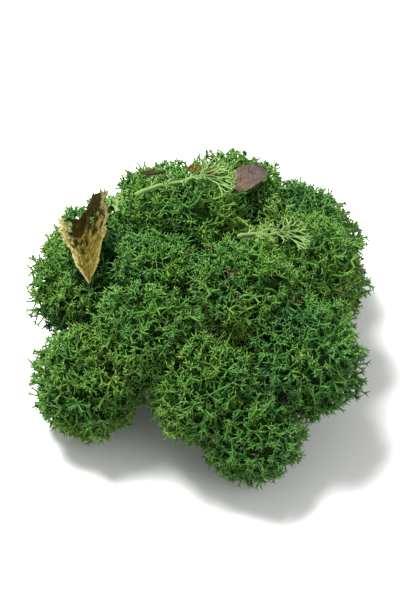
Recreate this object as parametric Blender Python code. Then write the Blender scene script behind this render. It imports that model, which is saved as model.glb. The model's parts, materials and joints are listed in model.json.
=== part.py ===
"""A clump of reindeer moss, the forked lichen that florists dye green and preserve.

Fourteen domed heads stand side by side. Each is one plant: a stem that forks into boughs, which
enter a mass of branchlets, and twigs with spurs and forked tips that cover the mass on all sides.
Three loose stems and four bits of leaf litter lie on the heads.
Units are metres and +Z is up. The feet of the stems stand on the plane z = 0.
"""

import math
import random
from collections import namedtuple

import bmesh
import bpy
from mathutils import Matrix, Quaternion, Vector, kdtree, noise
from mathutils.bvhtree import BVHTree

MM = 0.001

# A head's place in plan and the height of its top, its dome's radius, the turn of its forks in
# degrees, and its shade of green. The clump is looked at from -Y.
Head = namedtuple("Head", "name x y top radius turn shade")
HEADS = (
    Head("head_crown", -5 * MM, 15 * MM, 50 * MM, 18 * MM, 10, "moss_mid_green"),
    Head("head_crown_small", -11 * MM, -0.5 * MM, 45 * MM, 12.5 * MM, 40, "moss_deep_green"),
    Head("head_middle", 9 * MM, -5.5 * MM, 46 * MM, 16 * MM, 25, "moss_mid_green"),
    Head("head_middle_left", -13 * MM, -14.5 * MM, 40 * MM, 15 * MM, 70, "moss_mid_green"),
    Head("head_front", 1 * MM, -26 * MM, 33 * MM, 15 * MM, 5, "moss_warm_green"),
    Head("head_front_tip", 11.5 * MM, -34.5 * MM, 25 * MM, 13 * MM, 55, "moss_deep_green"),
    Head("head_front_right", 23.5 * MM, -18.5 * MM, 37 * MM, 16.5 * MM, 35, "moss_blue_green"),
    Head("head_front_left", -27.5 * MM, -18 * MM, 28 * MM, 15.5 * MM, 60, "moss_warm_green"),
    Head("head_left", -27 * MM, 7.5 * MM, 40 * MM, 18 * MM, 20, "moss_mid_green"),
    Head("head_right", 25 * MM, 8.5 * MM, 41 * MM, 18 * MM, 45, "moss_warm_green"),
    Head("head_back", 8 * MM, 31.5 * MM, 43 * MM, 17.5 * MM, 15, "moss_mid_green"),
    Head("head_back_right", 26.5 * MM, 30 * MM, 34 * MM, 17 * MM, 65, "moss_blue_green"),
    Head("head_back_left", -10.5 * MM, 37 * MM, 36 * MM, 16.5 * MM, 30, "moss_deep_green"),
    Head("head_far_left", -27.5 * MM, 28 * MM, 29 * MM, 16.5 * MM, 50, "moss_mid_green"),
)

# The stems all point back to one spot below the clump, and flat seams through it part the heads
ROOT = Vector((0, 0, -26 * MM))
SEAM_GAP = 0.5 * MM
GROUND_GAP = 0.6 * MM
TOUCH_GAP = 0.32 * MM
TOUCH_REACH = 5 * MM

# A dome: how flat it is, and its lumps
DOME_FLATNESS = 0.82
DOME_LUMP = 0.16
LUMP_SIZE = 8 * MM
GOLDEN_ANGLE = math.pi * (3 - math.sqrt(5))

# A head's inner mass of branchlets: its size as a share of the dome, how many corners it has for
# the dome's radius squared, and the underside that the boughs enter, which is hollowed
CORE_SHARE = 0.53
CORE_CORNERS = 0.1 / MM**2
CORE_UNEVENNESS = 0.2
UNDERSIDE = -0.5
HOLLOW = 0.5

# The twigs that cover it: where each part of one ends, as a share of the way out to the dome's
# surface, how wide its spurs and tips spread, and how thick it is
ROOT_SHARE = 0.71
FORK_SHARE = 0.82
SPUR_SHARES = (0.84, 0.93)
SPUR_SPREADS = (0.6, 0.9)
TIP_SHARES = (0.95, 1.05)
TIP_SPREADS = (0.45, 0.75)
ROOT_RADIUS = 0.8 * MM
TWIG_RADIUS = 0.62 * MM
SLENDER = 0.4
OFF_MIDDLE = 0.25
FORK_RAISE = 0.7

# A head's stem, and the boughs it forks into under the dome
STEM_SIDES = 5
FOOT_RADIUS = 1.7 * MM
STEM_RADIUS = 1.3 * MM
STEM_SHARE = 0.42
KNEE_SHARE = 0.5
KNEE_BEND = 1.2 * MM
BOUGH_RADIUS = 0.9 * MM
BOUGH_SHARE = 0.36
BOUGH_HEIGHT = -0.35
BOUGH_KNEE_SHARE = 0.55
BOUGH_BOW = 1.2

# Loose stems that lie on the heads: place in plan, heading and pitch in degrees, length and fan
LooseStem = namedtuple("LooseStem", "name x y heading pitch length spread")
LOOSE_STEMS = (
    LooseStem("loose_stem_long", -16.5 * MM, 12 * MM, 22, 13, 17 * MM, 7 * MM),
    LooseStem("loose_stem_upright", -21 * MM, 14 * MM, 96, -18, 14 * MM, 7 * MM),
    LooseStem("loose_stem_curved", 8.5 * MM, 3 * MM, 12, 2, 11 * MM, 6 * MM),
)
LOOSE_RADIUS = 0.9 * MM
LOOSE_SAG_RADIUS = 42 * MM
LOOSE_FLATNESS = 0.5
LOOSE_FORWARD = 0.6
LOOSE_ELBOW_SHARE = 0.5
LOOSE_LEAN = 0.8
LOOSE_TIP_SHARES = (0.35, 0.55)

# Leaf litter: place in plan, heading, pitch and roll in degrees, then the blade's own sizes, its
# fold and curl in degrees, how much of its stalk end is missing and how far down one side is torn,
# both as shares of its length, its waves, and the rows and columns of its grid
Blade = namedtuple(
    "Blade", "name x y heading pitch roll length width fold curl start tear waves rows columns shade"
)
BLADES = (
    Blade(
        "curled_leaf", -28 * MM, 2 * MM, -84, -37, 6,
        25 * MM, 18 * MM, 38, 24, 0.3, 0.28, 4, 10, 3, "leaf_tan",
    ),
    Blade(
        "round_leaf", 12 * MM, 26.5 * MM, 29, 24, 8,
        10 * MM, 7.5 * MM, 12, -24, 0.06, 0, 0, 7, 2, "leaf_plum",
    ),
    Blade(
        "bud_scale", 0, 29 * MM, -27, -4, 8,
        9 * MM, 3.4 * MM, 26, 30, 0.06, 0, 0, 6, 1, "scale_rust",
    ),
    Blade(
        "dry_needle", -12 * MM, 22.5 * MM, -54, 27, 6,
        12 * MM, 1.7 * MM, 8, 16, 0.06, 0, 0, 6, 1, "needle_brown",
    ),
)
BLADE_THICKNESS = 0.65 * MM
WAVE_DEPTH = 0.06
TEAR_FROM = 0.35
TEAR_WIDTH = 0.7
TIP_END = 0.96
STALK_TAPER = 0.8
WHOLE_FULLNESS = 0.7
TORN_FULLNESS = 1.0

# How a piece is let down onto what lies below it
SETTLE_HEIGHT = 70 * MM
SETTLE_STEP = 0.2 * MM
SETTLE_CLEARANCE = 0.3 * MM

# Colour, roughness
SHADES = {
    "moss_mid_green": ((0.045, 0.115, 0.021), 0.85),
    "moss_deep_green": ((0.032, 0.092, 0.018), 0.86),
    "moss_blue_green": ((0.034, 0.118, 0.036), 0.85),
    "moss_warm_green": ((0.068, 0.145, 0.024), 0.84),
    "moss_pale_stem": ((0.160, 0.290, 0.085), 0.80),
    "leaf_tan": ((0.230, 0.140, 0.035), 0.62),
    "leaf_plum": ((0.120, 0.060, 0.042), 0.42),
    "scale_rust": ((0.260, 0.095, 0.028), 0.50),
    "needle_brown": ((0.095, 0.034, 0.018), 0.55),
}


def clear_scene():
    for obj in list(bpy.data.objects):
        bpy.data.objects.remove(obj, do_unlink=True)


def material_of(name):
    """The shade's material, made the first time it is asked for."""
    material = bpy.data.materials.get(name)
    if material is None:
        colour, roughness = SHADES[name]
        material = bpy.data.materials.new(name)
        material.use_nodes = True
        shader = material.node_tree.nodes["Principled BSDF"]
        shader.inputs["Base Color"].default_value = (*colour, 1)
        shader.inputs["Roughness"].default_value = roughness
        shader.inputs["Metallic"].default_value = 0
        material.diffuse_color = (*colour, 1)
    return material


def object_from(shape, name, place, shade, parent):
    """Makes the bmesh an object whose origin is at its place, and frees the bmesh."""
    bmesh.ops.translate(shape, verts=shape.verts, vec=-place)
    bmesh.ops.recalc_face_normals(shape, faces=shape.faces)
    mesh = bpy.data.meshes.new(name)
    shape.to_mesh(mesh)
    shape.free()
    mesh.materials.append(material_of(shade))
    obj = bpy.data.objects.new(name, mesh)
    bpy.context.scene.collection.objects.link(obj)
    obj.location = place
    obj.parent = parent
    return obj


def apply_modifiers(obj):
    graph = bpy.context.evaluated_depsgraph_get()
    obj.data = bpy.data.meshes.new_from_object(obj.evaluated_get(graph))
    obj.modifiers.clear()


# Where the heads are

def dome_centre(head):
    return Vector((head.x, head.y, head.top - head.radius * DOME_FLATNESS))


def foot_of(head):
    """Where the line from the root to the dome's centre crosses the ground."""
    centre = dome_centre(head)
    return ROOT.lerp(centre, -ROOT.z / (centre.z - ROOT.z)) * Vector((1, 1, 0))


def seams_of(head):
    """Planes that a head's branches stay inside, as (point, normal towards the head, gap)."""
    mine = (dome_centre(head) - ROOT).normalized()
    planes = [(Vector(), Vector((0, 0, 1)), GROUND_GAP)]
    for other in HEADS:
        if other is head:
            continue
        theirs = (dome_centre(other) - ROOT).normalized()
        seam = mine.slerp(theirs, head.radius / (head.radius + other.radius))
        across = mine - theirs
        across -= across.project(seam)
        planes.append((ROOT, across.normalized(), SEAM_GAP / 2))
    return planes


def pulled_in(start, end, seams, thickness):
    """The furthest point from start towards end that keeps clear of the seams."""
    share = 1.0
    for point, normal, gap in seams:
        room = (start - point).dot(normal) - gap - thickness
        run = (start - end).dot(normal)
        if run > room:
            share = min(share, max(room, 0) / run)
    return start.lerp(end, share)


class Dome:
    """A head's dome, which turns a direction from its centre into a point of the head."""

    def __init__(self, head):
        self.centre = dome_centre(head)
        self.foot = foot_of(head)
        self.radius = head.radius
        self.seams = seams_of(head)
        upright = (self.centre - self.foot).to_track_quat("Z", "Y")
        self.turn = upright @ Quaternion((0, 0, 1), math.radians(head.turn))

    def point(self, direction, share):
        """The point that lies this share of the way to the lumpy surface, inside the seams."""
        offset = Vector((direction.x, direction.y, direction.z * DOME_FLATNESS)) * self.radius
        offset.rotate(self.turn)
        offset *= 1 + DOME_LUMP * noise.noise((self.centre + offset) / LUMP_SIZE)
        surface = pulled_in(self.centre, self.centre + offset, self.seams, 0)
        return pulled_in(self.centre, self.centre.lerp(surface, share), self.seams, 0)


# How a branch grows

def set_ring(face, centre, direction, radius):
    """Moves an end face to centre, square to the branch and untwisted."""
    side = direction.orthogonal().normalized()
    up = direction.cross(side)
    middle = face.calc_center_median()
    step = math.tau / len(face.verts)
    x = y = 0.0
    for k, vert in enumerate(face.verts):
        arm = vert.co - middle
        angle = math.atan2(arm.dot(up), arm.dot(side)) - k * step
        x += math.cos(angle)
        y += math.sin(angle)
    first = math.atan2(y, x)
    for k, vert in enumerate(face.verts):
        angle = first + k * step
        vert.co = centre + (side * math.cos(angle) + up * math.sin(angle)) * radius


def reach(shape, face, centre, radius):
    """Lengthens the branch that ends in face to centre, and returns its new end."""
    direction = (centre - face.calc_center_median()).normalized()
    end = bmesh.ops.extrude_discrete_faces(shape, faces=[face])["faces"][0]
    set_ring(end, centre, direction, radius)
    return end


def draw_out(shape, face, tip):
    """Draws a face out to a point, and returns the faces round the point."""
    poked = bmesh.ops.poke(shape, faces=[face])
    poked["verts"][0].co = tip
    return poked["faces"]


def side_number(face, ring):
    """Which side of the ring of corners the face stands on."""
    ends = zip(range(len(ring)), ring, ring[1:] + ring[:1])
    return next(k for k, a, b in ends if a in face.verts and b in face.verts)


def fork(shape, end, direction):
    """Splits an end face into a face for each of its sides, in the order of its corners."""
    ring = list(end.verts)
    middle = end.calc_center_median()
    raised = middle + direction * ((ring[0].co - middle).length * FORK_RAISE)
    return sorted(draw_out(shape, end, raised), key=lambda face: side_number(face, ring))


def stem_from(shape, start, direction, radius):
    """A short flat-ended stem that starts at start, and the face at its far end."""
    cone = bmesh.ops.create_cone(
        shape, cap_ends=True, segments=STEM_SIDES, radius1=radius, radius2=radius, depth=radius
    )
    turned = direction.to_track_quat("Z", "Y").to_matrix().to_4x4()
    lift = Matrix.Translation((0, 0, radius / 2))
    bmesh.ops.transform(
        shape, matrix=Matrix.Translation(start) @ turned @ lift, verts=cone["verts"]
    )
    caps = [face for face in shape.faces if len(face.verts) == STEM_SIDES]
    return max(caps, key=lambda face: face.calc_center_median().dot(direction))


# A head

def head_stem(dome, head):
    """A stem that stands on a flat foot and forks into boughs that end inside the head's mass."""
    shape = bmesh.new()
    crotch = dome.foot.lerp(dome.centre, STEM_SHARE)
    turn = math.radians(head.turn)
    bend = Vector((math.cos(turn), math.sin(turn), 0)) * KNEE_BEND
    end = stem_from(shape, dome.foot, Vector((0, 0, 1)), FOOT_RADIUS)
    end = reach(shape, end, dome.foot.lerp(crotch, KNEE_SHARE) + bend, STEM_RADIUS)
    end = reach(shape, end, crotch, STEM_RADIUS)
    for side in fork(shape, end, (dome.centre - dome.foot).normalized()):
        out = side.calc_center_median() - crotch
        out.rotate(dome.turn.inverted())
        out = Vector((out.x, out.y, 0)).normalized() + Vector((0, 0, BOUGH_HEIGHT))
        goal = dome.point(out.normalized(), BOUGH_SHARE)
        bow = crotch.lerp(goal, BOUGH_KNEE_SHARE)
        bow = dome.centre.lerp(bow, BOUGH_BOW)
        bow = pulled_in(crotch, bow, dome.seams, BOUGH_RADIUS)
        elbow = reach(shape, side, bow, BOUGH_RADIUS)
        reach(shape, elbow, goal, BOUGH_RADIUS)
    return shape


def head_core(dome, head, rng):
    """The mass inside a head, as a closed mesh, and the direction of each of its corners."""
    shape = bmesh.new()
    count = round(CORE_CORNERS * head.radius**2)
    for i in range(count):
        height = 1 - 2 * (i + 0.5) / count
        angle = i * GOLDEN_ANGLE + rng.uniform(-CORE_UNEVENNESS, CORE_UNEVENNESS)
        out = math.sqrt(1 - height * height)
        shape.verts.new((math.cos(angle) * out, math.sin(angle) * out, height))
    bmesh.ops.convex_hull(shape, input=shape.verts)
    bmesh.ops.recalc_face_normals(shape, faces=shape.faces)
    directions = {vert: vert.co.copy() for vert in shape.verts}
    for vert, direction in directions.items():
        below = max(0, UNDERSIDE - direction.z) / (1 + UNDERSIDE)
        vert.co = dome.point(direction, CORE_SHARE * (1 - HOLLOW * below))
    return shape, directions


def lengthen_twig(shape, face, corners, dome, share, radius):
    """Lengthens a twig, inside the wedge of the dome that its corners bound."""
    place = dome.point(sum(corners, Vector()).normalized(), share)
    end = bmesh.ops.extrude_discrete_faces(shape, faces=[face])["faces"][0]
    for vert, corner in zip(end.verts, corners):
        arm = dome.point(corner, share) - place
        vert.co = place + arm * min(radius / arm.length, SLENDER)
    return end


def grow_twig(shape, face, corners, dome, rng):
    """Grows a twig on a face, with a spur and above it a tip from each of its three sides."""
    out = sum(corners, Vector()).normalized()
    following = corners[1:] + corners[:1]

    def tip_towards(near, far, spreads, shares):
        towards = near.lerp(far, OFF_MIDDLE).normalized()
        direction = out.lerp(towards, rng.uniform(*spreads)).normalized()
        return dome.point(direction, rng.uniform(*shares))

    base = lengthen_twig(shape, face, corners, dome, ROOT_SHARE, ROOT_RADIUS)
    end = lengthen_twig(shape, base, corners, dome, FORK_SHARE, TWIG_RADIUS)
    ring = list(end.verts)
    sides = [side for edge in end.edges for side in edge.link_faces if side is not end]
    for side in sides:
        k = side_number(side, ring)
        draw_out(shape, side, tip_towards(corners[k], following[k], SPUR_SPREADS, SPUR_SHARES))
    children = fork(shape, end, (end.calc_center_median() - dome.centre).normalized())
    for k, child in enumerate(children):
        draw_out(shape, child, tip_towards(following[k], corners[k], TIP_SPREADS, TIP_SHARES))


def make_head(head, parent):
    """One head, in one piece: its stem and boughs, the mass they enter, and its twigs."""
    dome = Dome(head)
    rng = random.Random(head.name)
    shape, directions = head_core(dome, head, rng)
    rooted = []
    for face in shape.faces:
        corners = [directions[vert] for vert in face.verts]
        if sum(corners, Vector()).z / len(corners) > UNDERSIDE:
            rooted.append((face, corners))
    for face, corners in rooted:
        grow_twig(shape, face, corners, dome, rng)
    obj = object_from(shape, head.name, dome.foot, head.shade, parent)
    stem = object_from(head_stem(dome, head), "stem", dome.foot, head.shade, parent)
    union = obj.modifiers.new("stem", "BOOLEAN")
    union.operation = "UNION"
    union.object = stem
    union.use_self = True
    apply_modifiers(obj)
    bpy.data.objects.remove(stem, do_unlink=True)
    return obj


def bring_together(heads):
    """Moves the nearest tips of each two neighbours to face each other across their seam."""
    for i, obj in enumerate(heads):
        points = obj.data.vertices
        tree = kdtree.KDTree(len(points))
        for vert in points:
            tree.insert(vert.co + obj.location, vert.index)
        tree.balance()
        for other in heads[i + 1:]:
            found = (
                (*tree.find(vert.co + other.location), vert) for vert in other.data.vertices
            )
            mine, index, distance, theirs = min(found, key=lambda each: each[2])
            if distance > TOUCH_REACH:
                continue
            place = theirs.co + other.location
            middle = (mine + place) / 2
            apart = (mine - place).normalized() * (TOUCH_GAP / 2)
            points[index].co = middle + apart - obj.location
            theirs.co = middle - apart - other.location


# Pieces that lie on the heads

def tree_of(obj):
    """A search tree of the object's faces where it lies."""
    points = [obj.location + vert.co for vert in obj.data.vertices]
    return BVHTree.FromPolygons(points, [tuple(face.vertices) for face in obj.data.polygons])


def near_in_plan(one, other):
    """Whether two pieces' bounding boxes overlap, seen from above."""
    spans = []
    for obj in (one, other):
        corners = [obj.location + Vector(corner) for corner in obj.bound_box]
        spans.append([(min(c[i] for c in corners), max(c[i] for c in corners)) for i in range(2)])
    return all(a[0] < b[1] and b[0] < a[1] for a, b in zip(*spans))


def settle(piece, lying):
    """Lets a piece down until it touches what lies below, then leaves it just clear."""
    trees = [tree_of(obj) for obj in lying if near_in_plan(piece, obj)]
    piece.location.z = SETTLE_HEIGHT
    while piece.location.z > 0 and not any(tree_of(piece).overlap(tree) for tree in trees):
        piece.location.z -= SETTLE_STEP
    piece.location.z += SETTLE_STEP + SETTLE_CLEARANCE


def turned_by(heading, pitch, roll):
    """A turn that points +X along the heading, tipped up by pitch and rolled about itself."""
    return (
        Matrix.Rotation(math.radians(heading), 4, "Z")
        @ Matrix.Rotation(math.radians(-pitch), 4, "Y")
        @ Matrix.Rotation(math.radians(roll), 4, "X")
    )


def make_loose_stem(stem, parent):
    """A stem broken off a head, which lies on its side, sags and forks twice at its far end."""
    shape = bmesh.new()
    rng = random.Random(stem.name)
    along = Vector((1, 0, 0))
    crotch = along * stem.length
    end = stem_from(shape, Vector(), along, LOOSE_RADIUS)
    end = reach(shape, end, crotch * KNEE_SHARE + Vector((0, KNEE_BEND, 0)), LOOSE_RADIUS)
    end = reach(shape, end, crotch, LOOSE_RADIUS)
    for side in fork(shape, end, along):
        arm = side.calc_center_median() - crotch
        out = (arm.normalized() + along * LOOSE_FORWARD).normalized()
        out.z *= LOOSE_FLATNESS
        elbow = crotch + out * stem.spread * LOOSE_ELBOW_SHARE
        twig = reach(shape, side, elbow, TWIG_RADIUS)
        for tip in fork(shape, twig, out):
            lean = (tip.calc_center_median() - elbow).normalized()
            lean.z *= LOOSE_FLATNESS
            length = stem.spread * rng.uniform(*LOOSE_TIP_SHARES)
            draw_out(shape, tip, elbow + (out + lean * LOOSE_LEAN) * length)
    for vert in shape.verts:
        vert.co.z -= vert.co.x ** 2 / (2 * LOOSE_SAG_RADIUS)
    bmesh.ops.transform(shape, matrix=turned_by(stem.heading, stem.pitch, 0), verts=shape.verts)
    obj = object_from(shape, stem.name, Vector(), "moss_pale_stem", parent)
    obj.location = (stem.x, stem.y, 0)
    return obj


def blade_point(blade, along, across):
    """A point of a leaf's middle surface: along from stalk to tip, across from -1 to 1."""
    torn = blade.tear * min(1, max(0, (TEAR_FROM - across) / TEAR_WIDTH))
    run = torn + (1 - torn) * along
    swelling = (blade.start + (TIP_END - blade.start) * run) ** STALK_TAPER
    fullness = TORN_FULLNESS if blade.tear else WHOLE_FULLNESS
    body = math.sin(math.pi * swelling) ** fullness
    wave = 1 + WAVE_DEPTH * math.sin(math.tau * blade.waves * run)
    half = blade.width / 2 * body * wave
    fold, curl = math.radians(blade.fold), math.radians(blade.curl)
    height = abs(across) * half * math.sin(fold)
    radius = blade.length / curl
    angle = run * curl
    return Vector((
        (radius - height) * math.sin(angle),
        across * half * math.cos(fold),
        radius - (radius - height) * math.cos(angle),
    ))


def make_blade(blade, parent):
    """A dry leaf or scale: a folded, curled blade of one thickness, cut to its outline."""
    shape = bmesh.new()
    columns = range(-blade.columns, blade.columns + 1)
    grid = []
    for row in range(blade.rows + 1):
        along = row / blade.rows
        points = [blade_point(blade, along, column / blade.columns) for column in columns]
        grid.append([shape.verts.new(point) for point in points])
    for lower, upper in zip(grid, grid[1:]):
        for k in range(len(lower) - 1):
            shape.faces.new((lower[k], upper[k], upper[k + 1], lower[k + 1]))
    bmesh.ops.triangulate(shape, faces=shape.faces)
    bmesh.ops.transform(
        shape, matrix=turned_by(blade.heading, blade.pitch, blade.roll), verts=shape.verts
    )
    centre = sum((vert.co for vert in shape.verts), Vector()) / len(shape.verts)
    obj = object_from(shape, blade.name, centre, blade.shade, parent)
    thickness = obj.modifiers.new("thickness", "SOLIDIFY")
    thickness.thickness = BLADE_THICKNESS
    thickness.offset = 0
    apply_modifiers(obj)
    obj.location = (blade.x, blade.y, 0)
    return obj


def centre_over_origin(clump, pieces):
    """Moves the clump so that the middle of its outline in plan is at the origin."""
    corners = [obj.location + vert.co for obj in pieces for vert in obj.data.vertices]
    low = [min(corner[axis] for corner in corners) for axis in range(2)]
    high = [max(corner[axis] for corner in corners) for axis in range(2)]
    clump.location = (-(low[0] + high[0]) / 2, -(low[1] + high[1]) / 2, 0)


def main():
    clear_scene()
    clump = bpy.data.objects.new("reindeer_moss_clump", None)
    bpy.context.scene.collection.objects.link(clump)
    pieces = [make_head(head, clump) for head in HEADS]
    bring_together(pieces)
    for stem in LOOSE_STEMS:
        piece = make_loose_stem(stem, clump)
        settle(piece, pieces)
        pieces.append(piece)
    for blade in BLADES:
        piece = make_blade(blade, clump)
        settle(piece, pieces)
        pieces.append(piece)
    centre_over_origin(clump, pieces)


main()
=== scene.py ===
import json
import math
import random
from collections import namedtuple
from functools import partial

import bmesh
import bpy
import numpy as np
from mathutils import Matrix, Quaternion, Vector, noise
from mathutils.bvhtree import BVHTree

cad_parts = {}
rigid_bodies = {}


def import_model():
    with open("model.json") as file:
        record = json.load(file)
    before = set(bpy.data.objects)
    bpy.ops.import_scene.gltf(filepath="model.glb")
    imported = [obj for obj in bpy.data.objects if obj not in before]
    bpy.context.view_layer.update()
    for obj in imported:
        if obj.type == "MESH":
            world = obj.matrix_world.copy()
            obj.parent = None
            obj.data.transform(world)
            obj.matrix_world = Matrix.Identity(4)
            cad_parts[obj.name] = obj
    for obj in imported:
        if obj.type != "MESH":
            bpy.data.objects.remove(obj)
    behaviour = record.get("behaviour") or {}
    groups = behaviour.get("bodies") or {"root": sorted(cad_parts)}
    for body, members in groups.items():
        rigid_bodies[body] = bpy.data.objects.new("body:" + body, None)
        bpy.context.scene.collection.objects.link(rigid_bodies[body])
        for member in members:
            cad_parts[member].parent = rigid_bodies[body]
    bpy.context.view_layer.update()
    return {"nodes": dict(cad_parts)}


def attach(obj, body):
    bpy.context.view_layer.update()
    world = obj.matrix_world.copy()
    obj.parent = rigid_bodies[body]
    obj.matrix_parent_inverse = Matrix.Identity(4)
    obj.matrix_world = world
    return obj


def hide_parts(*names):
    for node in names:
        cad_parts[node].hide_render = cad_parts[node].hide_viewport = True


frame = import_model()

MM = 0.001


# The moss heads: reindeer moss, a lichen with no leaves. One hollow stem forks three or four ways
# again and again, each time finer, and the last forks end in little stars that make a dense dome.
# It is dyed green right through and kept soft with glycerine. The heads only press on each other.

# A head's place, top and radius in mm, the turn of its forks, and how far its green leans from
# blue (-1) to yellow (1)
Head = namedtuple("Head", "name x y top radius turn lean slot")
HEADS = (
    Head("head_crown", -5, 15, 50, 18, 10, 0.05, "moss_mid_green"),
    Head("head_crown_small", -11, -0.5, 45, 12.5, 40, -0.15, "moss_deep_green"),
    Head("head_middle", 9, -5.5, 46, 16, 25, 0.1, "moss_mid_green"),
    Head("head_middle_left", -13, -14.5, 40, 15, 70, -0.05, "moss_mid_green"),
    Head("head_front", 1, -26, 33, 15, 5, 0.3, "moss_warm_green"),
    Head("head_front_tip", 11.5, -34.5, 25, 13, 55, -0.2, "moss_deep_green"),
    Head("head_front_right", 23.5, -18.5, 37, 16.5, 35, -0.5, "moss_blue_green"),
    Head("head_front_left", -27.5, -18, 28, 15.5, 60, 0.35, "moss_warm_green"),
    Head("head_left", -27, 7.5, 40, 18, 20, 0.05, "moss_mid_green"),
    Head("head_right", 25, 8.5, 41, 18, 45, 0.4, "moss_warm_green"),
    Head("head_back", 8, 31.5, 43, 17.5, 15, 0.1, "moss_mid_green"),
    Head("head_back_right", 26.5, 30, 34, 17, 65, -0.5, "moss_blue_green"),
    Head("head_back_left", -10.5, 37, 36, 16.5, 30, -0.15, "moss_deep_green"),
    Head("head_far_left", -27.5, 28, 29, 16.5, 50, 0.05, "moss_mid_green"),
)
# The heads grow away from one point this deep, with gaps at their seams and over the ground
ROOT_DEPTH = 26 * MM
SEAM_GAP = 0.5 * MM
GROUND_GAP = 2.3 * MM
DOME_FLATNESS = 0.82
DOME_LUMP = 0.16
LUMP_SIZE = 8 * MM
GOLDEN_ANGLE = math.pi * (3 - math.sqrt(5))

# The branch ends: how far apart, how low on the dome, how far short of its surface, which their
# stars then meet, and how many stay where a neighbour buries them
END_SPACING = 1.8 * MM
END_UNEVENNESS = 0.3
LOWEST_END = -0.66
END_SHARES = (0.88, 0.99)
BURIED_SHARE = 0.5
BURIED_KEPT = 0.15
BARE_PATCH_SIZE = 4.5 * MM
BARE_PATCH_LEVEL = 0.5

# A tuft is a bunch of ends that stands out a little at its middle
TUFT_ENDS = 26
TUFT_UNEVENNESS = 0.06
CREST = 0.13

# The room left around the litter, and how an end steps back for it
END_ROOM = 1.1 * MM
TWIG_ROOM = 0.9 * MM
MASS_ROOM = 2.5 * MM
STEP_BACK = 0.03
LEAST_SHARE = 0.5

# Age runs from 0 at the stem to 1 at the youngest tips, and the shade follows it. Ends in the
# clefts, low down or deep in the dome get a lower age, which is painted shade, and side twigs get
# more painted shade the deeper they stand.
STEM_AGE = 0.05
BOUGH_AGE = 0.06
BOUGH_GROWTH = 0.76
SHADED_TWIG_AGE = 0.58
OUTER_TWIG_AGE = 0.8
MOST_SHADED_END = 0.6
BRIGHTEST_END = 0.86
CLEFT_PAINTED_SHADE = 0.2
DEPTH_PAINTED_SHADE = 0.8

# Branch thickness: that of an end, and how it grows with the number of ends that a branch carries
END_RADIUS = 0.215 * MM
THICKENING = 0.25
FOOT_SWELL = 1.25
SHOULDER = 1.12

# Forks: how far up the stem the first is, how deep the others are, from how many ends on a fork
# parts them in bunches, or in four, and how far the branches wander and bow out
CROTCH_SHARE = 0.42
FORK_DEPTH = 0.72
DEEPEST_FORK = 0.3
LAST_FORK = 5
FORK_OF_FOUR = 14
SORTING_ROUNDS = 7
WANDER = 0.1
BOW = 0.06
STEM_BEND = 1.2 * MM

# The stars at the branch ends, and their prongs
PRONG_LENGTHS = (1.0 * MM, 2.0 * MM)
PRONG_RADIUS = 0.205 * MM
PRONG_UNEVENNESS = 0.2
STAR_KINDS = 9
STAR_PRONGS = (3, 4, 3, 4, 5)
STAR_LEANS = (38, 66)
STAR_OUTWARDS = 1.4
STAR_SIZES = (0.85, 1.15)

# Side twigs on the inner branches, and the dense mass of old branchlets that they stand out of,
# painted dark as shade
TWIG_SHARES = (0.45, 0.92)
TWIGS_AT_A_FORK = 3
TWIG_LENGTHS = (1.3 * MM, 2.7 * MM)
TWIG_RISE = 0.45
SHORTEST_TWIG = 0.7 * MM
TWIG_KINDS = 5
TWIG_LEANS = (30, 55)
TWIG_SIZES = (0.7, 1.0)
OLD_TWIG_SIZES = (1.1, 1.5)
MASS_SHARE = 0.68
MASS_CORNERS = 680
MASS_LUMP = 0.28
MASS_LUMP_SIZE = 2.1 * MM
UNDERSIDE = -0.45

# Dead, brown branchlets: their patches, their share there and elsewhere, and their tone
DEAD_PATCH_SIZE = 5 * MM
DEAD_PATCH_LEVEL = 0.58
DEAD_PATCH_SHARE = 0.7
DEAD_SHARE = 0.002
DEAD_TONE = 0.985

# The classes of a skeleton's points: tubes, by their stoutest radius, then ends, twigs and mass
STOUT_FROM = (0.27 * MM, 0.48 * MM)
TUBE_SIDES = {"Fine sides": 3, "Middle sides": 4, "Stout sides": 7}
END_CLASS, TWIG_CLASS, MASS_CLASS = 3, 4, 5


def clamped(value, low=0, high=1):
    return min(high, max(low, value))


def random_offset(rng, size):
    return Vector([rng.gauss(0, size) for _ in range(3)])


def spiral_place(i, count):
    """The i-th of count places spread evenly over a ball, from its top down."""
    height = 1 - 2 * (i + 0.5) / count
    out = math.sqrt(1 - height * height)
    angle = i * GOLDEN_ANGLE
    return math.cos(angle) * out, math.sin(angle) * out, height


def foot_in_frame(head):
    """The middle of the flat foot that the head's stem stands on."""
    points = [vert.co for vert in frame["nodes"][head.name].data.vertices]
    low = [point for point in points if point.z < 0.01 * MM]
    return sum(low, Vector()) / len(low)


def dome_centre(head):
    return Vector((head.x, head.y, head.top - head.radius * DOME_FLATNESS)) * MM


def towards(head):
    return (dome_centre(head) + Vector((0, 0, ROOT_DEPTH))).normalized()


def seams_of(head):
    """Planes that a head's branches stay inside, as (point, normal towards the head, gap)."""
    mine = towards(head)
    planes = [(Vector(), Vector((0, 0, 1)), GROUND_GAP)]
    for other in HEADS:
        if other is not head:
            seam = mine.slerp(towards(other), head.radius / (head.radius + other.radius))
            across = mine - towards(other)
            across -= across.project(seam)
            planes.append((Vector((0, 0, -ROOT_DEPTH)), across.normalized(), SEAM_GAP / 2))
    return planes


def pulled_in(start, end, seams):
    """The end, pulled back until it crosses no seam, and the share that is left of its way."""
    share = 1.0
    for point, normal, gap in seams:
        room = (start - point).dot(normal) - gap
        run = (start - end).dot(normal)
        if run > room:
            share = min(share, max(room, 0) / run)
    return start.lerp(end, share), share


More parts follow.
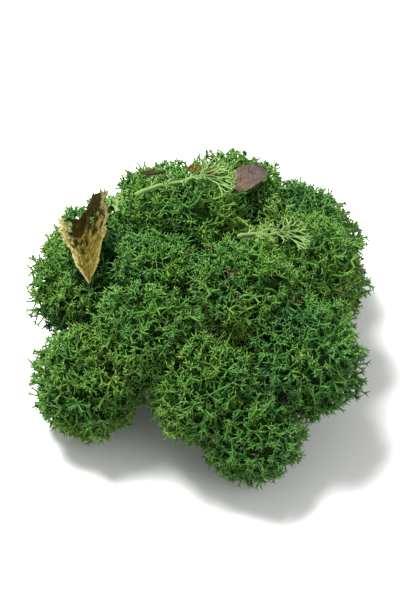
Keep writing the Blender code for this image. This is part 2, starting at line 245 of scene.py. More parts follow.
class Dome:
    """A head's dome, which turns a direction from its centre into a point of the head."""

    def __init__(self, head):
        self.centre = dome_centre(head)
        self.radius = head.radius * MM
        self.seams = seams_of(head)
        line = self.centre + Vector((0, 0, ROOT_DEPTH))
        self.foot = (line * (ROOT_DEPTH / line.z)) * Vector((1, 1, 0))
        upright = (self.centre - self.foot).to_track_quat("Z", "Y")
        self.turn = upright @ Quaternion((0, 0, 1), math.radians(head.turn))

    def surface(self, direction):
        """Where the direction meets the lumpy surface, and the share of it inside the seams."""
        offset = Vector((direction[0], direction[1], direction[2] * DOME_FLATNESS)) * self.radius
        offset.rotate(self.turn)
        offset *= 1 + DOME_LUMP * noise.noise((self.centre + offset) / LUMP_SIZE)
        return pulled_in(self.centre, self.centre + offset, self.seams)

    def point(self, direction, share):
        out = self.centre.lerp(self.surface(direction)[0], share)
        return pulled_in(self.centre, out, self.seams)[0]


def end_directions(dome, rng):
    """Directions spread evenly over the dome, uneven by a little, that its branches end in."""
    count = round(4 * math.pi * (dome.radius / END_SPACING) ** 2)
    found = []
    for i in range(count):
        place = spiral_place(i, count)
        if place[2] < LOWEST_END:
            break
        place = Vector(place) + random_offset(rng, END_UNEVENNESS * END_SPACING / dome.radius)
        place.normalize()
        spot, share = dome.surface(place)
        bare = noise.noise(spot / BARE_PATCH_SIZE + Vector((5, 2, 8))) > BARE_PATCH_LEVEL
        if not bare and (share > BURIED_SHARE or rng.random() < BURIED_KEPT):
            found.append(place)
    return np.array(found), count


def parted(directions, members, parts, rng):
    """Parts the ends into bunches of neighbours, one for each fork of the branch."""
    spots = directions[members]
    centres = spots[rng.sample(range(len(members)), parts)]
    for _ in range(SORTING_ROUNDS):
        nearest = (spots @ centres.T).argmax(1)
        sums = [spots[nearest == k].sum(0) for k in range(parts)]
        centres = np.array([s / max(np.linalg.norm(s), 1e-9) for s in sums])
    nearest = (spots @ centres.T).argmax(1)
    return [members[nearest == k] for k in range(parts) if (nearest == k).any()]


def carried_radius(count):
    return END_RADIUS * count ** THICKENING


class Growth:
    """The branches of one head, as lines of (place, radius, age), and its branch ends."""

    def __init__(self, dome, rng, in_the_way):
        self.dome = dome
        self.rng = rng
        self.in_the_way = in_the_way
        self.lines, self.ends, self.twigs = [], [], []
        self.directions, self.whole = end_directions(dome, rng)

    def blocked(self, spot, room):
        return any(tree.find_nearest(spot, room)[0] is not None for tree in self.in_the_way)

    def middle_of(self, bunch):
        return Vector(self.directions[bunch].sum(0)).normalized()

    def end_at(self, k, tuft, line):
        """Takes a branch to its end, short of anything that lies there."""
        crest, crest_height, tuft_reach = tuft
        direction = Vector(self.directions[k])
        away = (direction - crest).length
        dip = CREST * min(1, (away / tuft_reach) ** 2)
        share = self.rng.uniform(*END_SHARES) + crest_height - dip
        place = self.dome.point(direction, share)
        while self.blocked(place, END_ROOM) and share > LEAST_SHARE:
            share -= STEP_BACK
            place = self.dome.point(direction, share)
        out = (place - self.dome.centre).normalized()
        facing = ((place - line[-1][0]).normalized() + STAR_OUTWARDS * out).normalized()
        age = self.end_age_with_painted_shade(place, share, self.dome.surface(direction)[1])
        line.append((place, END_RADIUS, age))
        self.lines.append(line)
        self.ends.append((place, facing, age))

    def end_age_with_painted_shade(self, place, share, seam_share):
        """An end's age, lowered as painted shade in the dips, low down and in the clefts."""
        buried = clamped((0.95 - seam_share) / 0.4)
        low = clamped((self.dome.centre.z - place.z) / self.dome.radius)
        # Painted shade: a lower age darkens the ends where shade falls
        painted_shade = CLEFT_PAINTED_SHADE * max(buried, low)
        return max(MOST_SHADED_END, BRIGHTEST_END - painted_shade - DEPTH_PAINTED_SHADE * max(0, 0.97 - share))

    def grow(self, members, line, tuft=None):
        """Forks the branch that line ends at, until each bunch is a single end."""
        count = len(members)
        middle = self.middle_of(members)
        if tuft is None and count < TUFT_ENDS:
            reach = 2 * math.sqrt(count / self.whole)
            tuft = middle, self.rng.gauss(0, TUFT_UNEVENNESS), reach
        if count == 1:
            return self.end_at(members[0], tuft, line)
        if count <= LAST_FORK:
            bunches = [np.array([k]) for k in members]
        else:
            bunches = parted(self.directions, members, 3 if count < FORK_OF_FOUR else 4, self.rng)
        place, radius, age = line[-1]
        behind = (place - line[-2][0]).normalized() if len(line) > 1 else Vector((0, 0, 1))
        goals = [self.node_for(bunch) for bunch in bunches]
        straightness = [(goal - place).normalized().dot(behind) for goal in goals]
        leader = straightness.index(max(straightness))
        for k, (bunch, goal) in enumerate(zip(bunches, goals)):
            width = carried_radius(len(bunch))
            left = min(1, math.log(len(bunch) + 1) / math.log(self.whole))
            newer = BOUGH_AGE + BOUGH_GROWTH * (1 - left)
            shoulder = (place - behind * radius * 0.5, width * SHOULDER, age)
            path = line if k == leader else [shoulder]
            if len(bunch) > 1:
                run = (goal - place).length
                bow = (path[-1][0] + goal) / 2 + random_offset(self.rng, WANDER * run)
                bow += (bow - self.dome.centre).normalized() * run * BOW
                path.append((bow, (path[-1][1] + width) / 2, (age + newer) / 2))
                path.append((goal, width, newer))
            self.grow(bunch, path, tuft)
        self.side_twigs(place, behind, radius, count)

    def side_twigs(self, place, behind, radius, count):
        share = (place - self.dome.centre).length / self.dome.radius
        if count < 3 or not TWIG_SHARES[0] < share < TWIG_SHARES[1]:
            return
        out = (place - self.dome.centre).normalized()
        for _ in range(TWIGS_AT_A_FORK):
            away = random_offset(self.rng, 1)
            away -= away.project(behind) * 0.8
            way = (away.normalized() + TWIG_RISE * out).normalized()
            tip = place + way * self.rng.uniform(*TWIG_LENGTHS)
            tip = pulled_in(place, tip, self.dome.seams)[0]
            if (tip - place).length < SHORTEST_TWIG or self.blocked(tip, TWIG_ROOM):
                continue
            # Painted shade: the deeper a side twig stands, the lower its age and the darker its
            # colour
            depth = (tip - self.dome.centre).length / self.dome.radius
            newer = (OUTER_TWIG_AGE - SHADED_TWIG_AGE) * (depth - 0.5) / 0.4
            age = clamped(SHADED_TWIG_AGE + newer, SHADED_TWIG_AGE, OUTER_TWIG_AGE)
            start = place - way * radius * 0.3
            self.lines.append([(start, END_RADIUS * 1.25, age), (tip, END_RADIUS, age)])
            self.twigs.append((tip, way, age))

    def cover(self, corners):
        """Old twig ends that stand all over the inner mass, at the age that paints them dark as
        shade.
        """
        for corner in corners:
            out = (corner - self.dome.centre).normalized()
            way = (out + 0.5 * random_offset(self.rng, 1)).normalized()
            if not self.blocked(corner, MASS_ROOM):
                self.twigs.append((corner, way, SHADED_TWIG_AGE))

    def node_for(self, bunch):
        """Where a branch forks into this bunch: the wider the bunch, the deeper."""
        half_angle = 2 * math.sqrt(len(bunch) / self.whole)
        share = max(DEEPEST_FORK, 1 - FORK_DEPTH * half_angle) * self.rng.uniform(0.95, 1.03)
        return self.dome.point(self.middle_of(bunch), min(share, 0.97))


def head_growth(head, in_the_way):
    dome = Dome(head)
    rng = random.Random(head.name)
    growth = Growth(dome, rng, in_the_way)
    everything = np.arange(len(growth.directions))
    crotch = dome.foot.lerp(dome.centre, CROTCH_SHARE)
    width = carried_radius(len(everything))
    turn = math.radians(head.turn)
    bend = Vector((math.cos(turn), math.sin(turn), 0)) * STEM_BEND
    line = [
        (dome.foot, width * FOOT_SWELL, STEM_AGE),
        (dome.foot + Vector((0, 0, 1.2 * MM)), width * 1.1, STEM_AGE),
        (dome.foot.lerp(crotch, 0.5) + bend, width, STEM_AGE),
        (crotch, width, BOUGH_AGE),
    ]
    growth.grow(everything, line)
    return growth


def add_prong(shape, way, rings, tip):
    """A three-sided prong through rings of (centre, radius, how far along) to its pointed tip."""
    along = shape.verts.layers.float["along"]
    side = way.orthogonal().normalized()
    up = way.cross(side)
    made = []
    for centre, radius, part in rings:
        ring = []
        for turn in (0, math.tau / 3, math.tau * 2 / 3):
            spoke = side * math.cos(turn) + up * math.sin(turn)
            vert = shape.verts.new(centre + spoke * radius)
            vert[along] = part
            ring.append(vert)
        made.append(ring)
    end = shape.verts.new(tip)
    end[along] = 1
    for j in range(3):
        for low, high in zip(made, made[1:]):
            shape.faces.new((low[j], low[j - 2], high[j - 2], high[j]))
        shape.faces.new((made[-1][j], made[-1][j - 2], end))
    shape.faces.new(made[0][::-1])


def mesh_of(shape, name):
    mesh = bpy.data.meshes.new(name)
    shape.to_mesh(mesh)
    shape.free()
    return mesh


def pronged(label, kind, prongs, leans, bent):
    """A star or a twig's end: prongs that lean out and, in a star, bend up halfway."""
    rng = random.Random(kind)
    shape = bmesh.new()
    shape.verts.layers.float.new("along")
    for k in range(prongs):
        heading = (k + rng.uniform(-PRONG_UNEVENNESS, PRONG_UNEVENNESS)) * math.tau / prongs
        lean = math.radians(rng.uniform(*leans))
        out = math.sin(lean)
        way = Vector((math.cos(heading) * out, math.sin(heading) * out, math.cos(lean)))
        tip = way * rng.uniform(*PRONG_LENGTHS)
        rings = [(Vector(), PRONG_RADIUS * 1.1, 0)]
        if bent:
            knee = tip * 0.5
            curl = Vector((rng.gauss(0, 0.35), rng.gauss(0, 0.35), rng.uniform(0.1, 0.7)))
            rings = [(-way * 0.1 * MM, PRONG_RADIUS, 0), (knee, PRONG_RADIUS * 0.8, 0.5)]
            tip = knee + (way + curl).normalized() * knee.length
        add_prong(shape, way, rings, tip)
    mesh = mesh_of(shape, f"{label}_{kind:02}")
    return bpy.data.objects.new(mesh.name, mesh)


stars = bpy.data.collections.new("stars")
for kind in range(STAR_KINDS):
    prongs = STAR_PRONGS[kind % len(STAR_PRONGS)]
    stars.objects.link(pronged("star", kind, prongs, STAR_LEANS, True))
twig_ends = bpy.data.collections.new("twig_ends")
for kind in range(TWIG_KINDS):
    twig_ends.objects.link(pronged("twig_end", kind, 2 + kind % 2, TWIG_LEANS, False))


def inner_mass(dome, rng):
    """The corners and faces of the lumpy mass of old branchlets, hollow below for the boughs."""
    shape = bmesh.new()
    for i in range(MASS_CORNERS):
        shape.verts.new(spiral_place(i, MASS_CORNERS))
    bmesh.ops.convex_hull(shape, input=shape.verts)
    bmesh.ops.recalc_face_normals(shape, faces=shape.faces)
    shape.verts.index_update()
    corners = []
    for vert in shape.verts:
        below = max(0, UNDERSIDE - vert.co.z) / (1 + UNDERSIDE)
        place = dome.point(vert.co, MASS_SHARE * (1 - 0.5 * below))
        lump = MASS_LUMP * noise.noise(place / MASS_LUMP_SIZE) + rng.uniform(-0.05, 0.05)
        corners.append(dome.centre.lerp(place, 1 + lump))
    faces = [[vert.index for vert in face.verts] for face in shape.faces]
    shape.free()
    return corners, faces


def colour_place(spot, lean, rng):
    """Where a spot's green lies across the dye's range, from blue and deep to yellow and pale."""
    dead_patch = noise.noise(spot / DEAD_PATCH_SIZE + Vector((3, 9, 5))) > DEAD_PATCH_LEVEL
    if dead_patch and rng.random() < DEAD_PATCH_SHARE or rng.random() < DEAD_SHARE:
        return DEAD_TONE
    broad = noise.noise(spot / (11 * MM))
    fine = noise.noise(spot / (4 * MM) + Vector((7, 3, 1)))
    drift = 0.28 * (broad + 0.6 * fine)
    return clamped(0.46 + 0.27 * lean + drift + rng.uniform(-0.09, 0.09), 0.02, 0.9)


def skeleton_of(name, growth, lean, mass=((), ())):
    """The lines and ends as a mesh of edges and points, with the sizes the tubes and stars take."""
    rng = random.Random(name)
    rows, edges = [], []
    for line in growth.lines:
        tone = colour_place(line[-1][0], lean, rng)
        stoutest = max(radius for _, radius, _ in line)
        level = sum(stoutest > limit for limit in STOUT_FROM)
        edges += [(len(rows) + k - 1, len(rows) + k) for k in range(1, len(line))]
        rows += [(place, radius, age, tone, level) for place, radius, age in line]
    turns = [(0, 0, 0)] * len(rows)
    for place, _, age in growth.ends:
        size = rng.uniform(*STAR_SIZES)
        rows.append((place, size, age, colour_place(place, lean, rng), END_CLASS))
    for place, _, age in growth.twigs:
        size = rng.uniform(*(TWIG_SIZES if age > SHADED_TWIG_AGE else OLD_TWIG_SIZES))
        rows.append((place, size, age, colour_place(place, lean, rng), TWIG_CLASS))
    for _, facing, _ in growth.ends + growth.twigs:
        spin = Quaternion((0, 0, 1), rng.uniform(0, math.tau))
        turns.append(tuple((facing.to_track_quat("Z", "Y") @ spin).to_euler()))
    corners, faces = mass
    faces = [[len(rows) + k for k in face] for face in faces]
    # The mass's age of 0 gives it the inner painted shade
    rows += [(corner, 0, 0, colour_place(corner, lean, rng), MASS_CLASS) for corner in corners]
    turns += [(0, 0, 0)] * len(corners)
    places, radii, ages, tones, classes = zip(*rows)
    mesh = bpy.data.meshes.new(name)
    mesh.from_pydata([tuple(place) for place in places], edges, faces)
    for label, values in (("radius", radii), ("age", ages), ("tone", tones)):
        mesh.attributes.new(label, "FLOAT", "POINT").data.foreach_set("value", values)
    mesh.attributes.new("class", "INT", "POINT").data.foreach_set("value", classes)
    mesh.attributes.new("turn", "FLOAT_VECTOR", "POINT").data.foreach_set("vector", np.ravel(turns))
    return mesh


def node_group(name, family, inputs, outputs):
    """A node group with named sockets of each kind, its entry and its exit."""
    tree = bpy.data.node_groups.new(name, family + "NodeTree")
    for in_out, kinds in (("INPUT", inputs), ("OUTPUT", outputs)):
        for kind, labels in kinds.items():
            for label in labels:
                made = {"in_out": in_out, "socket_type": "NodeSocket" + kind}
                socket = tree.interface.new_socket(label, **made)
                if isinstance(labels, dict):
                    socket.default_value = labels[label]
    entry = tree.nodes.new("NodeGroupInput").outputs
    return tree, entry, tree.nodes.new("NodeGroupOutput").inputs


def wired(tree, kind, sockets, **settings):
    """The outputs of a new node with its settings made, and its sockets linked or given values."""
    node = tree.nodes.new(kind)
    for label, value in settings.items():
        setattr(node, label, value)
    for label, value in sockets.items():
        if isinstance(value, bpy.types.NodeSocket):
            tree.links.new(value, node.inputs[label])
        else:
            node.inputs[label].default_value = value
    return node.outputs


def maths(tree, kind, *values, clamp=False):
    sockets = dict(enumerate(values))
    return wired(tree, "ShaderNodeMath", sockets, operation=kind, use_clamp=clamp)["Value"]


def branching_tree():
    """Geometry nodes that put tubes on the lines and a star on each end."""
    tree, entry, leave = node_group("moss_branches", "Geometry", {
        "Geometry": ["Lines"], "Collection": ["Stars", "Twig ends"],
        "Int": {**TUBE_SIDES, "Star seed": 3}, "Material": ["Moss"],
    }, {"Geometry": ["Branches"]})
    joined = tree.nodes.new("GeometryNodeJoinGeometry")

    def join(geometry):
        tree.links.new(geometry, joined.inputs["Geometry"])

    def named(label, kind="FLOAT"):
        sockets = {"Name": label}
        return wired(tree, "GeometryNodeInputNamedAttribute", sockets, data_type=kind)["Attribute"]

    def same_class(number):
        sockets = {"A": named("class", "INT"), "B": number}
        kind = {"data_type": "INT", "operation": "EQUAL"}
        return wired(tree, "FunctionNodeCompare", sockets, **kind)["Result"]

    def only_class(number):
        sockets = {"Geometry": entry["Lines"], "Selection": same_class(number)}
        return wired(tree, "GeometryNodeSeparateGeometry", sockets)["Selection"]

    for number, label in enumerate(TUBE_SIDES):
        curves = wired(tree, "GeometryNodeMeshToCurve", {"Mesh": only_class(number)})
        sockets = {"Resolution": entry[label], "Radius": 1}
        ring = wired(tree, "GeometryNodeCurvePrimitiveCircle", sockets)
        join(wired(tree, "GeometryNodeCurveToMesh", {
            "Curve": curves["Curve"], "Profile Curve": ring["Curve"],
            "Scale": named("radius"), "Fill Caps": True,
        })["Mesh"])
    for label, number, kinds in (
        ("Stars", END_CLASS, STAR_KINDS), ("Twig ends", TWIG_CLASS, TWIG_KINDS),
    ):
        picked = wired(tree, "GeometryNodeCollectionInfo", {
            "Collection": entry[label], "Separate Children": True, "Reset Children": True,
        })
        sockets = {4: 0, 5: kinds - 1, "Seed": entry["Star seed"]}
        which = wired(tree, "FunctionNodeRandomValue", sockets, data_type="INT")
        sockets = {"Euler": named("turn", "FLOAT_VECTOR")}
        turned = wired(tree, "FunctionNodeEulerToRotation", sockets)
        join(wired(tree, "GeometryNodeInstanceOnPoints", {
            "Points": entry["Lines"], "Selection": same_class(number), "Pick Instance": True,
            "Instance": picked["Instances"], "Instance Index": which[2],
            "Rotation": turned["Rotation"], "Scale": named("radius"),
        })["Instances"])
    join(only_class(MASS_CLASS))
    # The age rises along each prong, so its tip is paler with a painted highlight
    newer = maths(tree, "MULTIPLY_ADD", named("along"), 0.12, named("age"))
    dye_place = wired(tree, "ShaderNodeCombineXYZ", {"X": newer, "Y": named("tone")})["Vector"]
    last = joined.outputs["Geometry"]
    last = wired(tree, "GeometryNodeRealizeInstances", {"Geometry": last})["Geometry"]
    for label in ("dye", "OFBake"):
        sockets = {"Geometry": last, "Name": label, "Value": dye_place}
        kind = {"data_type": "FLOAT2", "domain": "CORNER"}
        last = wired(tree, "GeometryNodeStoreNamedAttribute", sockets, **kind)["Geometry"]
    last = wired(tree, "GeometryNodeSetShadeSmooth", {"Geometry": last})["Geometry"]
    sockets = {"Geometry": last, "Material": entry["Moss"]}
    last = wired(tree, "GeometryNodeSetMaterial", sockets)["Geometry"]
    tree.links.new(last, leave["Branches"])
    return tree


# Where one dye gives way to the next along the tone, and one shade along the age: painted shade on
# the inner mass and twigs, the stems' own paleness, and tips paler with a painted highlight; and
# how the tips' paling and highlight and the roughness run, from one age to another
DYE_STEPS = (("Middle dye", 0.05, 0.48), ("Bright dye", 0.48, 0.9), ("Dead", 0.94, 0.96))
SHADE_STEPS = (("Stem shade", 0.02, 0.04), ("Twig shade", 0.46, 0.58), ("Tip shade", 0.62, 0.98))
TIP_PALING_AND_HIGHLIGHT = (0.7, 0.98, 0, 0.35)
MOSS_ROUGHNESS = (0, 1, 0.95, 0.65)
MOSS_SPECULAR = 0.12
FELT_SCALE = 2500


def stretched(tree, source, low, high, start, end):
    """The source, with its range from low to high stretched to run from start to end."""
    return wired(tree, "ShaderNodeMapRange", {
        "Value": source, "From Min": low, "From Max": high, "To Min": start, "To Max": end,
    })["Result"]


def mixed(tree, factor, one, other):
    sockets = {"Factor": factor, 6: one, 7: other}
    return wired(tree, "ShaderNodeMix", sockets, data_type="RGBA")[2]


def scaled(tree, colour, factor):
    sockets = {"Vector": colour, "Scale": factor}
    return wired(tree, "ShaderNodeVectorMath", sockets, operation="SCALE")["Vector"]


def bumped(tree, height, strength, distance):
    sockets = {"Height": height, "Strength": strength, "Distance": distance}
    return wired(tree, "ShaderNodeBump", sockets)["Normal"]


def own_map(tree, name):
    """A place on the piece's own map, and its two parts."""
    place = wired(tree, "ShaderNodeUVMap", {}, uv_map=name)["UV"]
    parts = wired(tree, "ShaderNodeSeparateXYZ", {"Vector": place})
    return place, parts["X"], parts["Y"]


def dye_group():
    """The colour, roughness and grain of dyed lichen, from its tone and the age of the branch, with
    painted shade inside and a painted highlight at the tips.
    """
    group, entry, leave = node_group("dyed_lichen", "Shader", {
        "Color": ["Deep dye", "Middle dye", "Bright dye", "Dead", "Bleached"],
        "Float": {"Inner shade": 0.1, "Stem shade": 1.5, "Twig shade": 0.6, "Tip shade": 1.9},
    }, {"Color": ["Color"], "Float": ["Roughness", "Grain"]})
    _, age, tone = own_map(group, "dye")
    colour, shade = entry["Deep dye"], entry["Inner shade"]
    for label, low, high in DYE_STEPS:
        colour = mixed(group, stretched(group, tone, low, high, 0, 1), colour, entry[label])
    for label, low, high in SHADE_STEPS:
        shade = stretched(group, age, low, high, shade, entry[label])
    # Tips paled towards a pale colour, partly their own and partly a painted highlight
    paling_and_highlight = stretched(group, age, *TIP_PALING_AND_HIGHLIGHT)
    paler = mixed(group, paling_and_highlight, scaled(group, colour, shade), entry["Bleached"])
    group.links.new(paler, leave["Color"])
    group.links.new(stretched(group, age, *MOSS_ROUGHNESS), leave["Roughness"])
    spot = wired(group, "ShaderNodeTexCoord", {})["Object"]
    felt = wired(group, "ShaderNodeTexNoise", {"Vector": spot, "Scale": FELT_SCALE, "Detail": 2})
    group.links.new(felt["Fac"], leave["Grain"])
    return group


def plain_material(name, values):
    """A material with plain values on its shader, its node tree, and the shader's sockets."""
    material = bpy.data.materials.new(name)
    material.use_nodes = True
    shader = material.node_tree.nodes["Principled BSDF"].inputs
    for label, value in values.items():
        shader[label].default_value = value
    return material, material.node_tree, shader


def moss_material(name, values):
    """Dyed lichen: painted shade deep in the clefts, paler on the stout stems, and at the star tips
    paler still with a painted highlight.
    """
    material, tree, shader = plain_material(name, {"Specular IOR Level": MOSS_SPECULAR})
    lichen = wired(tree, "ShaderNodeGroup", values, node_tree=dye)
    tree.links.new(lichen["Color"], shader["Base Color"])
    tree.links.new(lichen["Roughness"], shader["Roughness"])
    felt = bumped(tree, lichen["Grain"], strength=0.2, distance=0.05 * MM)
    tree.links.new(felt, shader["Normal"])
    return material


dye = dye_group()
branches = branching_tree()
socket_named = {
    item.name: item.identifier for item in branches.interface.items_tree if item.in_out == "INPUT"
}
# Painted shade darkens the inner mass and the twigs; the tips are paler with a painted highlight
moss = moss_material("dyed_moss", {
    "Deep dye": (0.022, 0.118, 0.032, 1), "Middle dye": (0.048, 0.154, 0.017, 1),
    "Bright dye": (0.125, 0.225, 0.022, 1), "Dead": (0.046, 0.034, 0.014, 1),
    "Bleached": (0.230, 0.270, 0.120, 1),
    "Inner shade": 0.22, "Stem shade": 1.5, "Twig shade": 0.56, "Tip shade": 1.95,
})
shift = foot_in_frame(HEADS[0]) - Dome(HEADS[0]).foot


def search_tree(node):
    """A CAD node's faces, where the heads' own measures have them, to look for what lies near."""
    mesh = frame["nodes"][node].data
    points = [vert.co - shift for vert in mesh.vertices]
    return BVHTree.FromPolygons(points, [tuple(face.vertices) for face in mesh.polygons])


def in_scene(name, data):
    obj = bpy.data.objects.new(name, data)
    bpy.context.scene.collection.objects.link(obj)
    return obj


def put_in_place(obj, node):
    """Makes the modifiers' result the piece's own mesh, and puts the piece in its node's place."""
    made = obj.evaluated_get(bpy.context.evaluated_depsgraph_get())
    mesh = bpy.data.meshes.new_from_object(made)
    obj.modifiers.clear()
    obj.data = mesh
    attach(obj, "root")
    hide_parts(node)


def grown_piece(name, node, skeleton, material, place):
    """Grows the branches on a skeleton that is moved to its place."""
    obj = in_scene(name, skeleton)
    for vert in skeleton.vertices:
        vert.co += place
    grown = obj.modifiers.new("branches", "NODES")
    grown.node_group = branches
    grown[socket_named["Stars"]] = stars
    grown[socket_named["Twig ends"]] = twig_ends
    grown[socket_named["Moss"]] = material
    put_in_place(obj, node)


lying = [search_tree(node) for node in frame["nodes"] if not node.startswith("head_")]
for head in HEADS:
    name = head.name.replace("head_", "moss_")
    growth = head_growth(head, lying)
    mass = inner_mass(growth.dome, random.Random(head.turn))
    growth.cover(mass[0])
    skeleton = skeleton_of(name, growth, head.lean, mass)
    grown_piece(name, head.name, skeleton, moss, shift)


# Loose stems: three stout stems that broke off such heads and lie on them, on their sides. They
# are the palest of the moss, since their tips are few, and end in a flat fan of forks.

# A stem's start, way, length and the spread of its fan, in mm and degrees, and its seed
LooseStem = namedtuple("LooseStem", "name x y z heading pitch length spread seed")
LOOSE_STEMS = (
    LooseStem("loose_stem_long", -15.9, 9.1, 48.9, 22, 13, 17, 7, 5),
    LooseStem("loose_stem_upright", -20.4, 11.1, 41.7, 96, -18, 14, 7, 8),
    LooseStem("loose_stem_curved", 9.1, 0.1, 43.3, 12, 2, 11, 6, 2),
)
LOOSE_RADIUS = 0.62 * MM
LOOSE_TONE = 0.2
SAG_RADIUS = 42 * MM

# The bare part of the stem: its steps, its bends, and how it swells and tapers
TRUNK_STEPS = 8
TRUNK_BEND = 0.4 * MM
TRUNK_KNOTS = (0.9, 1.08)
TRUNK_TAPER = 0.04
TRUNK_AGE = 0.3

# Short forked spurs on the stem
SPUR_FORK = math.radians(38)
SPUR_LENGTHS = (1.4 * MM, 2.2 * MM)
SPUR_TIPS = (1.0 * MM, 1.8 * MM)

# The fan of forks at the stem's end
FAN_FLATNESS = 0.55
FAN_FORK = math.radians(32)
FAN_LEVELS = 4
FAN_STEPS = (0.24, 0.33)


def turned_by(heading, pitch, roll):
    """A turn that points +X along the heading, tipped up by pitch and rolled about itself."""
    return (
        Matrix.Rotation(math.radians(heading), 4, "Z")
        @ Matrix.Rotation(math.radians(-pitch), 4, "Y")
        @ Matrix.Rotation(math.radians(roll), 4, "X")
    ).to_3x3()


class Fan:
    """A loose stem's forks, lying flat, as lines and ends like those of a head."""

    def __init__(self, stem):
        self.rng = random.Random(stem.seed)
        self.lines, self.ends, self.twigs = [], [], []
        trunk = [
            (Vector(), LOOSE_RADIUS * 0.9, TRUNK_AGE),
            (Vector((0.5 * MM, 0, 0)), LOOSE_RADIUS * 1.15, TRUNK_AGE),
        ]
        for step in range(1, TRUNK_STEPS + 1):
            bend = Vector((0, math.sin(step * 0.9), 0.5 * math.cos(step * 1.7))) * TRUNK_BEND
            place = Vector((stem.length * MM * step / TRUNK_STEPS, 0, 0)) + bend
            swell = TRUNK_KNOTS[step % 2] - TRUNK_TAPER * step
            trunk.append((place, LOOSE_RADIUS * swell, TRUNK_AGE))
            if step > 1:
                self.spur(place, (-1) ** step, 0.5 + step / 16)
        self.fork(trunk, Vector((1, 0, 0)), stem.spread * MM, FAN_LEVELS)

    def spur(self, start, side, size):
        """A short side branch that parts in two."""
        rng = self.rng
        way = Vector((0.7, side * rng.uniform(0.5, 0.9), rng.uniform(-0.1, 0.5))).normalized()
        middle = start + way * rng.uniform(*SPUR_LENGTHS) * size
        stalk = [(start, END_RADIUS * 1.7, 0.35), (middle, END_RADIUS * 1.4, 0.5)]
        arm = [(middle, END_RADIUS * 1.2, 0.5)]
        for line, swing in ((stalk, -SPUR_FORK), (arm, SPUR_FORK * rng.uniform(0.4, 1.0))):
            out = Matrix.Rotation(swing, 3, "Z") @ way
            tip = middle + out * rng.uniform(*SPUR_TIPS) * size
            self.lines.append(line + [(tip, END_RADIUS, 0.6)])
            self.ends.append((tip, out, 0.7))

    def fork(self, line, way, reach, level):
        """Forks the branch in three, then its arms in two, level by level."""
        place, radius, age = line[-1]
        if level == 0:
            self.lines.append(line)
            self.ends.append((place, way, 0.72))
            return
        arms = 3 if level == FAN_LEVELS else 2
        for k in range(arms):
            swing = FAN_FORK * (k - (arms - 1) / 2) * self.rng.uniform(1.0, 1.4)
            lift = self.rng.uniform(-0.5, 0.5) * (1 if arms == 2 else k % 2)
            out = Matrix.Rotation(swing, 3, "Z") @ way + Vector((0, 0, lift * FAN_FLATNESS))
            out.normalize()
            width = max(END_RADIUS, radius * (0.76 if arms == 2 else 0.7))
            step = reach * self.rng.uniform(*FAN_STEPS)
            shoulder = (place - way * radius * 0.5, width * 1.15, age)
            path = line if k == arms // 2 else [shoulder]
            wander = random_offset(self.rng, 0.06 * step)
            path.append((place + out * step * 0.5 + wander, width * 1.05, age + 0.06))
            path.append((place + out * step, width, age + 0.12))
            self.fork(path, out, reach, level - 1)


def fan_skeleton(stem):
    """The fan's lines and ends, sagging and turned into their place, for the heads' branches."""
    fan = Fan(stem)
    turn = turned_by(stem.heading, stem.pitch, 0)

    def laid(place):
        return turn @ (place - Vector((0, 0, place.x ** 2 / (2 * SAG_RADIUS))))

    fan.lines = [[(laid(place), radius, age) for place, radius, age in line] for line in fan.lines]
    fan.ends = [(laid(place), turn @ way, age) for place, way, age in fan.ends]
    return skeleton_of(stem.name, fan, LOOSE_TONE)


# The loose stems' twigs and tips are lighter, partly their own paleness and partly a painted
# highlight
pale_moss = moss_material("pale_moss", {
    "Deep dye": (0.082, 0.158, 0.054, 1), "Middle dye": (0.115, 0.195, 0.056, 1),
    "Bright dye": (0.150, 0.222, 0.060, 1), "Dead": (0.120, 0.175, 0.050, 1),
    "Bleached": (0.260, 0.290, 0.150, 1),
    "Inner shade": 1.0, "Stem shade": 1.15, "Twig shade": 1.35, "Tip shade": 2.0,
})
for stem in LOOSE_STEMS:
    place = Vector((stem.x, stem.y, stem.z)) * MM
    skeleton = fan_skeleton(stem)
    grown_piece("moss_" + stem.name, stem.name, skeleton, pale_moss, place)


# The curled leaf: a dry, torn leaf of a broadleaf tree that fell among the moss. Its rim and tip
# have curled up and dried to a yellow tan. Its stalk end is dark and rotten, with holes and a
# ragged top.

# A blade's turn, its size in mm, its fold and curl in degrees, how full it starts, how much is
# torn away on one side, the waves in its rim, and its CAD grid
Blade = namedtuple(
    "Blade", "heading pitch roll length width fold curl start tear waves rows columns"
)
CURLED = Blade(-84, -37, 6, 25, 18, 38, 24, 0.3, 0.28, 4, 10, 3)
WAVE_DEPTH = 0.06
TEAR_FROM = 0.35
TEAR_WIDTH = 0.7
TIP_END = 0.96
STALK_TAPER = 0.8
WHOLE_FULLNESS = 0.7
TORN_FULLNESS = 1.0

# Holes that rot or insects left: along, across, radius, in the leaf's own coordinates
HOLES = ((0.12, -0.62, 0.045), (0.25, 0.18, 0.035), (0.42, -0.3, 0.022))
# The tip narrows from here on, by this share of its width
POINT_FROM = 0.88
POINT_SHARE = 0.85

# How the masks wobble and how sharply they end, as a factor and an amount added to it
RIM_WOBBLE = (1.1, -1.55)
RIM_SHARPNESS = 3.6
ROTTEN_WOBBLE = (1.5, -0.75)
ROTTEN_SHARPNESS = 5.0
VEIN_SHARPNESS = (6.0, -4.9)
MIDRIB_SHARPNESS = (-16.0, 1.3)
BLOTCH_AND_SHEEN_SHARPNESS = (3.0, -1.0)
BLOTCH_AND_SHEEN_STRETCH = (1.7, 1, 1)
SPECKLE = (0.3, 0.7, 0.45, 1.5)
VEIN_RISE = 1.5


